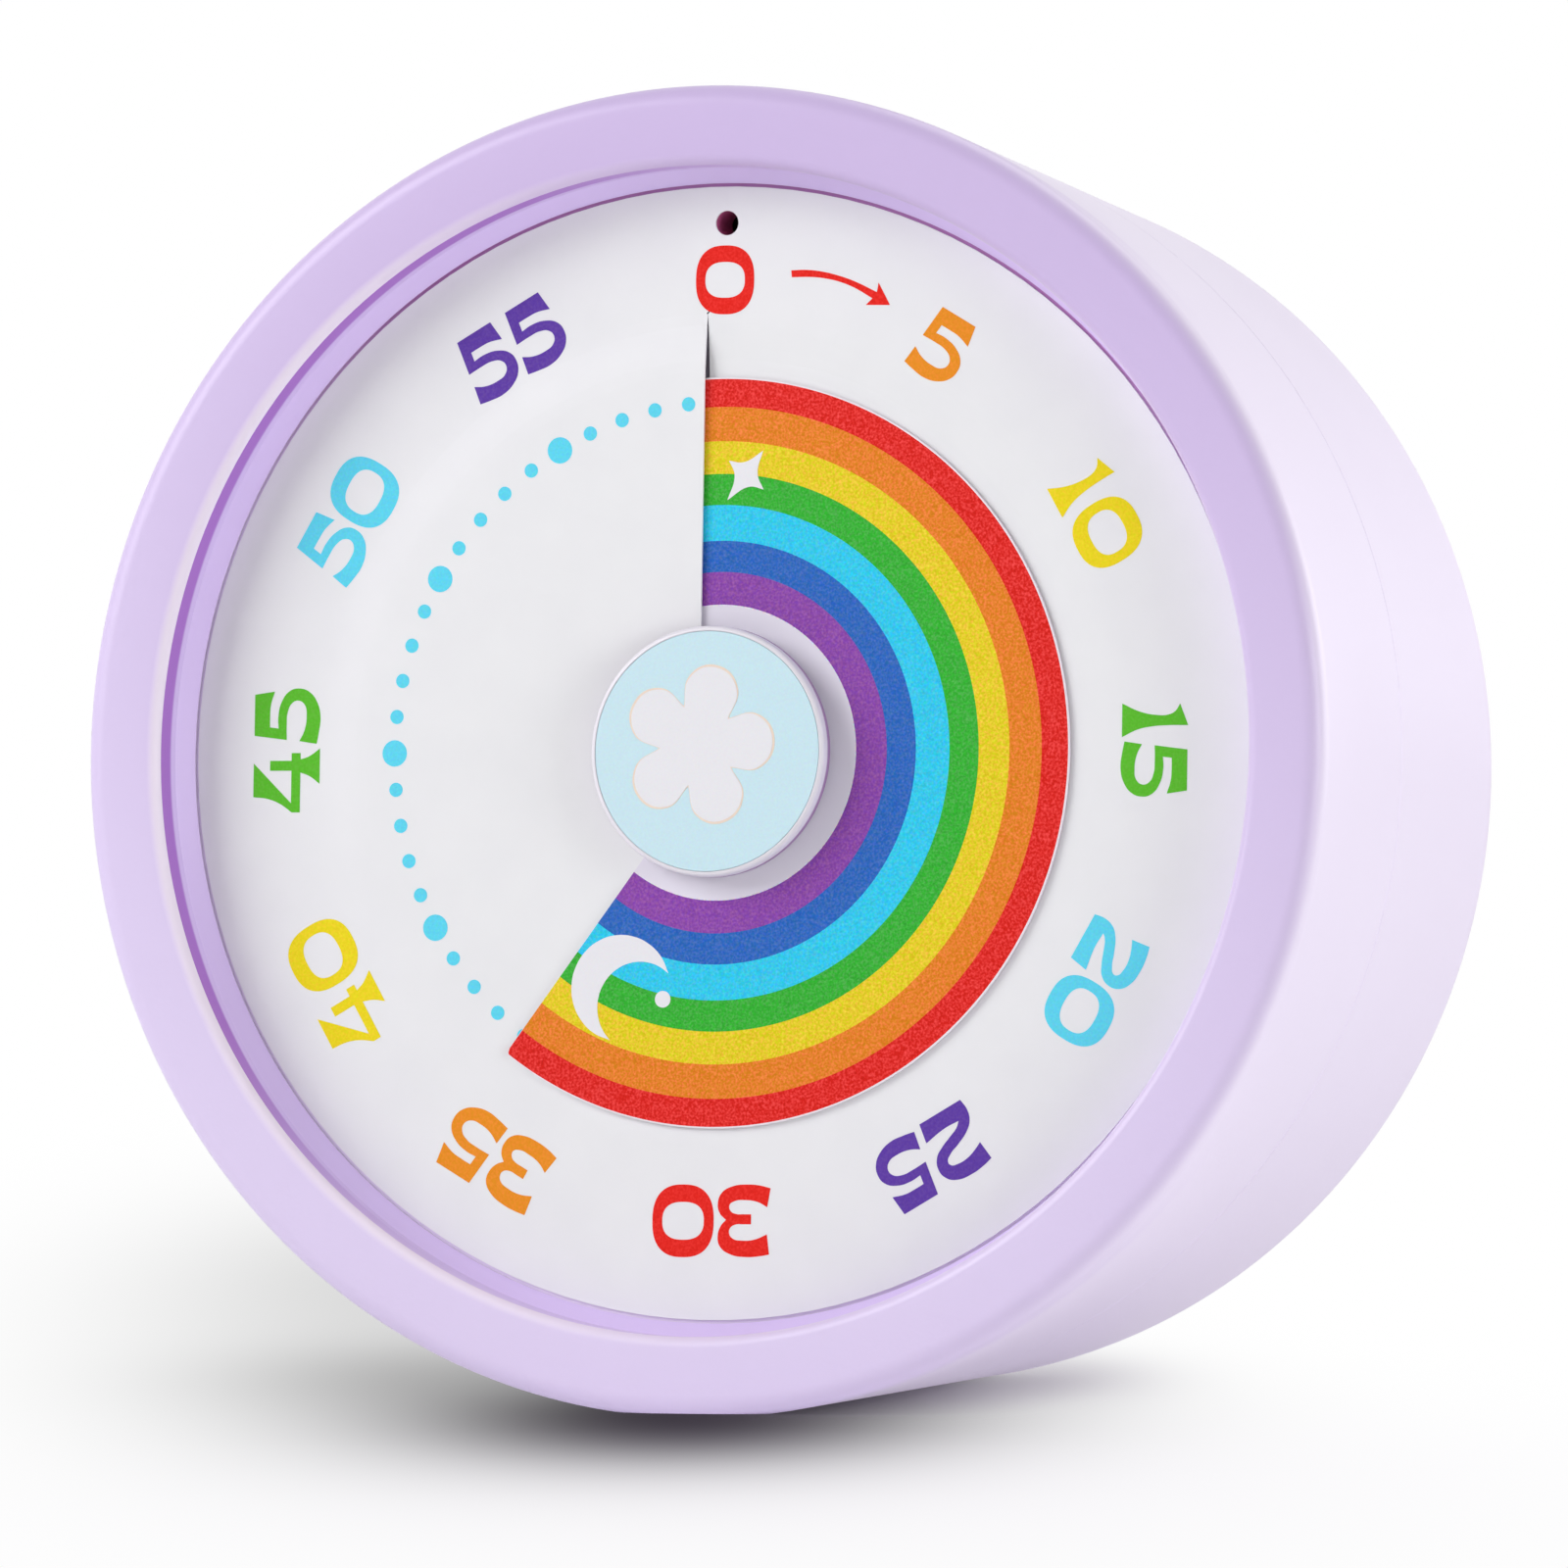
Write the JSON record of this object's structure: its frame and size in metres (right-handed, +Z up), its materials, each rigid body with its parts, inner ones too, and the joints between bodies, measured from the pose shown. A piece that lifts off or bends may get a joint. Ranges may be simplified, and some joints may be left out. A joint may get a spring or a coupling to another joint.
{
  "type": "visual countdown timer",
  "caption": "Round lavender table timer: a split rainbow disc turned by a low central knob comes out through a slit in a white minute dial and runs back to zero",
  "frame": {"origin": "middle of the object's box, on the table it stands on", "axes": "+Z up, +X to the reader's right; the dial faces -Y and leans back, so its own axis points along -Y and a little up"},
  "size_m": [0.08, 0.046, 0.0795],
  "materials": {
    "lavender_case": "satin moulded plastic",
    "white_sheet": "printed matt film",
    "rainbow_print": "printed matt film, ring-shaped colour bands",
    "white_plastic": "satin moulded plastic",
    "label_print": "printed matt film",
    "brass": "bare",
    "steel": "bare",
    "gear_plastic": "natural acetal",
    "magnet": "dark magnet",
    "copper_wire": "enamelled copper winding",
    "grey_plastic": "moulded plastic",
    "board": "solder resist",
    "black_plastic": "moulded plastic",
    "cell_jacket": "printed metal jacket"
  },
  "bodies": {
    "case": {"front_case": "lavender_case", "rear_case": "lavender_case", "case_screws": "steel", "dial_sheet": "white_sheet", "spindle_bush": "brass", "stator": "steel", "coil": "copper_wire", "movement_cover": "grey_plastic", "movement_housing": "grey_plastic", "movement_screws": "steel", "zero_contact": "brass", "circuit_board": "board", "board_screws": "steel", "control_chip": "black_plastic", "buzzer": "black_plastic", "switch_body": "black_plastic", "switch_leads": "brass", "cell": "cell_jacket", "contact_spring": "steel", "contact_minus": "steel", "contact_plus": "steel"},
    "knob": {"knob": "white_plastic", "knob_label": "label_print", "spindle": "white_plastic", "clutch_spring": "steel", "retaining_clip": "steel"},
    "disc": {"rainbow_disc": "rainbow_print", "disc_hub": "white_plastic"},
    "centre_wheel": {"centre_wheel": "gear_plastic"},
    "third_wheel": {"third_wheel": "gear_plastic"},
    "second_wheel": {"second_wheel": "gear_plastic"},
    "rotor": {"rotor": "magnet"},
    "switch_slider": {"switch_slider": "white_plastic"},
    "battery_door": {"battery_door": "lavender_case"}
  },
  "joints": [
    {"name": "knob_turn", "type": "hinge", "parent": "case", "child": "knob", "pos_m": [0, -0.01616, 0.03938], "axis": [0, 0.9969, -0.0784], "range_deg": [-216.7, 143.3]},
    {"name": "disc_rise", "type": "slide", "parent": "knob", "child": "disc", "axis": [0, -0.9969, 0.0784], "range_m": [-0.00034, 0.00023]},
    {"name": "centre_wheel_turn", "type": "hinge", "parent": "case", "child": "centre_wheel", "pos_m": [0, -0.00938, 0.03885], "axis": [0, 0.9969, -0.0784], "range_deg": [-216.7, 143.3]},
    {"name": "third_wheel_turn", "type": "hinge", "parent": "case", "child": "third_wheel", "pos_m": [-0.01455, -0.00583, 0.04699], "axis": [0, 0.9969, -0.0784], "range_deg": [-859.8, 1300.2]},
    {"name": "second_wheel_turn", "type": "hinge", "parent": "case", "child": "second_wheel", "pos_m": [-0.01577, -0.00523, 0.03296], "axis": [0, 0.9969, -0.0784], "range_deg": [-7801.2, 5158.8]},
    {"name": "rotor_turn", "type": "hinge", "parent": "case", "child": "rotor", "pos_m": [-0.01052, -0.00395, 0.02374], "axis": [0, 0.9969, -0.0784], "range_deg": [-25794, 39006]},
    {"name": "sound_switch", "type": "slide", "parent": "case", "child": "switch_slider", "axis": [1, 0, 0], "range_m": [0, 0.0026]},
    {"name": "battery_door_lift", "type": "slide", "parent": "case", "child": "battery_door", "axis": [0, 0.9969, -0.0784], "range_m": [0, 0.015]}
  ],
  "couplings": [
    {"joint": "disc_rise", "follows": "knob_turn", "m_per_rad": 0.000089127},
    {"joint": "centre_wheel_turn", "follows": "knob_turn", "ratio": 1},
    {"joint": "third_wheel_turn", "follows": "knob_turn", "ratio": -6},
    {"joint": "second_wheel_turn", "follows": "knob_turn", "ratio": 36},
    {"joint": "rotor_turn", "follows": "knob_turn", "ratio": -180}
  ]
}
